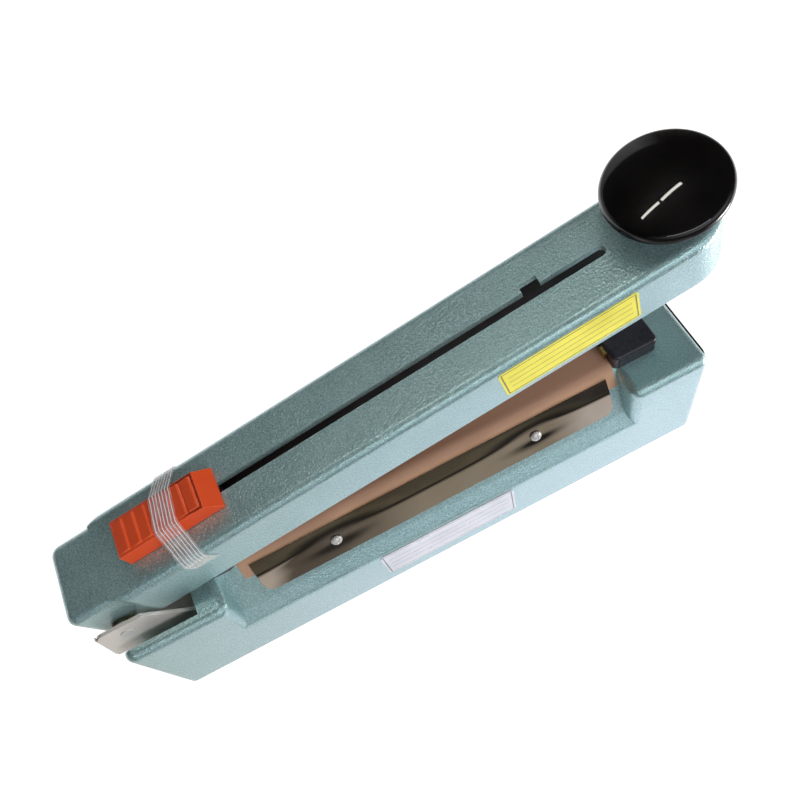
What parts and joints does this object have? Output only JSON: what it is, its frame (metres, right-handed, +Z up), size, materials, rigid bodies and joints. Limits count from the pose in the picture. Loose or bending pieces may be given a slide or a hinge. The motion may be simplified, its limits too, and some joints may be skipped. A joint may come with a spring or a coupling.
{
  "type": "hand impulse sealer",
  "caption": "Bench-top hand impulse heat sealer for plastic bags: hinged pressing arm with round knob, sliding cutter, seal bed under cloth and cast base with timer dial.",
  "frame": {"origin": "middle of the outline at rest, on the surface that the feet stand on", "axes": "+X towards the handle knob, +Z up, -Y towards the user at the labelled side"},
  "size_m": [0.3466, 0.0784, 0.1882],
  "materials": {
    "teal_paint": "hammertone enamel",
    "zinc_sheet": "zinc plated sheet",
    "bright_steel": "bright nickel",
    "spring_steel": "bright spring wire",
    "ribbon_steel": "flat nickel chrome ribbon",
    "blade_steel": "ground steel",
    "bracket_chrome": "bright plated",
    "plate_chrome": "bright plated",
    "grey_aluminium": "satin extrusion",
    "core_iron": "varnished laminations",
    "coil_copper": "taped winding",
    "brass_terminal": "bare brass",
    "brass_bush": "sintered bronze",
    "black_rubber": "matt",
    "red_silicone": "silicone rubber",
    "brown_cloth": "coated glass cloth",
    "tan_fabric": "glass cloth insulation",
    "black_bakelite": "moulded, semi gloss",
    "black_knob": "moulded, gloss",
    "black_plastic": "moulded, matt",
    "black_panel": "matt sheet",
    "orange_plastic": "moulded, semi gloss",
    "red_lens": "clear red lens",
    "green_board": "laminate",
    "white_label": "printed sheet, blank",
    "yellow_label": "gloss sheet, blank",
    "clear_tape": "clear film with fibres"
  },
  "bodies": {
    "base": {"base_housing": "teal_paint", "bottom_plate": "zinc_sheet", "bottom_screws": "bright_steel", "rubber_feet": "black_rubber", "nameplate": "white_label", "front_panel": "black_panel", "panel_screws": "bright_steel", "pilot_lamp": "red_lens", "timer_board": "green_board", "timer_pot": "zinc_sheet", "board_spacers": "black_plastic", "transformer_core": "core_iron", "transformer_coil": "coil_copper", "microswitch": "black_plastic", "cord_gland": "black_rubber", "hinge_bracket": "bracket_chrome", "bracket_screws": "bright_steel", "hinge_pin": "bright_steel", "hinge_washers": "bright_steel", "lift_spring": "spring_steel", "cutter_guide": "grey_aluminium", "insulation_strips": "tan_fabric", "heating_ribbons": "ribbon_steel", "element_terminals": "brass_terminal", "lead_tabs": "brass_terminal", "seal_cloth_near": "brown_cloth", "seal_cloth_far": "brown_cloth", "clamp_plate_near": "plate_chrome", "clamp_plate_far": "plate_chrome", "clamp_screws": "bright_steel", "front_block": "black_bakelite", "rear_block": "black_bakelite", "block_screws": "bright_steel"},
    "arm": {"arm_casting": "teal_paint", "hinge_bushes": "brass_bush", "pressure_bar_near": "black_panel", "pressure_bar_far": "black_panel", "rubber_strip_near": "red_silicone", "rubber_strip_far": "red_silicone", "handle_knob": "black_knob", "knob_stud": "bright_steel", "knob_nut": "bright_steel", "arm_label": "yellow_label"},
    "cutter": {"cutter_slider": "orange_plastic", "cutter_shoe": "grey_aluminium", "cutter_blade": "blade_steel", "cutter_screws": "bright_steel", "transport_tape": "clear_tape"},
    "push_rod": {"push_rod": "bright_steel"},
    "switch_lever": {"switch_lever": "bright_steel"},
    "timer_dial": {"timer_dial": "black_knob", "dial_spindle": "bright_steel"}
  },
  "joints": [
    {"name": "arm_hinge", "type": "hinge", "parent": "base", "child": "arm", "pos_m": [-0.15692, 0, 0.085], "axis": [0, 1, 0], "range_deg": [0, 9.35], "stiffness_Nm_per_rad": 5, "springref_deg": -22.92, "deforming": ["lift_spring"]},
    {"name": "cutter_slide", "type": "slide", "parent": "arm", "child": "cutter", "axis": [0.9867, 0, 0.1625], "range_m": [0, 0.195]},
    {"name": "push_rod_slide", "type": "slide", "parent": "base", "child": "push_rod", "axis": [0, 0, 1], "range_m": [-0.0038, 0]},
    {"name": "switch_lever_hinge", "type": "hinge", "parent": "base", "child": "switch_lever", "pos_m": [-0.14792, 0, 0.0396], "axis": [0, 1, 0], "range_deg": [0, 17.2]},
    {"name": "timer_dial_turn", "type": "hinge", "parent": "base", "child": "timer_dial", "pos_m": [0.15708, 0, 0.036], "axis": [1, 0, 0], "range_deg": [-135, 135]}
  ],
  "couplings": [
    {"joint": "push_rod_slide", "follows": "arm_hinge", "m_per_rad": -0.022898},
    {"joint": "switch_lever_hinge", "follows": "arm_hinge", "ratio": 1.8182}
  ]
}
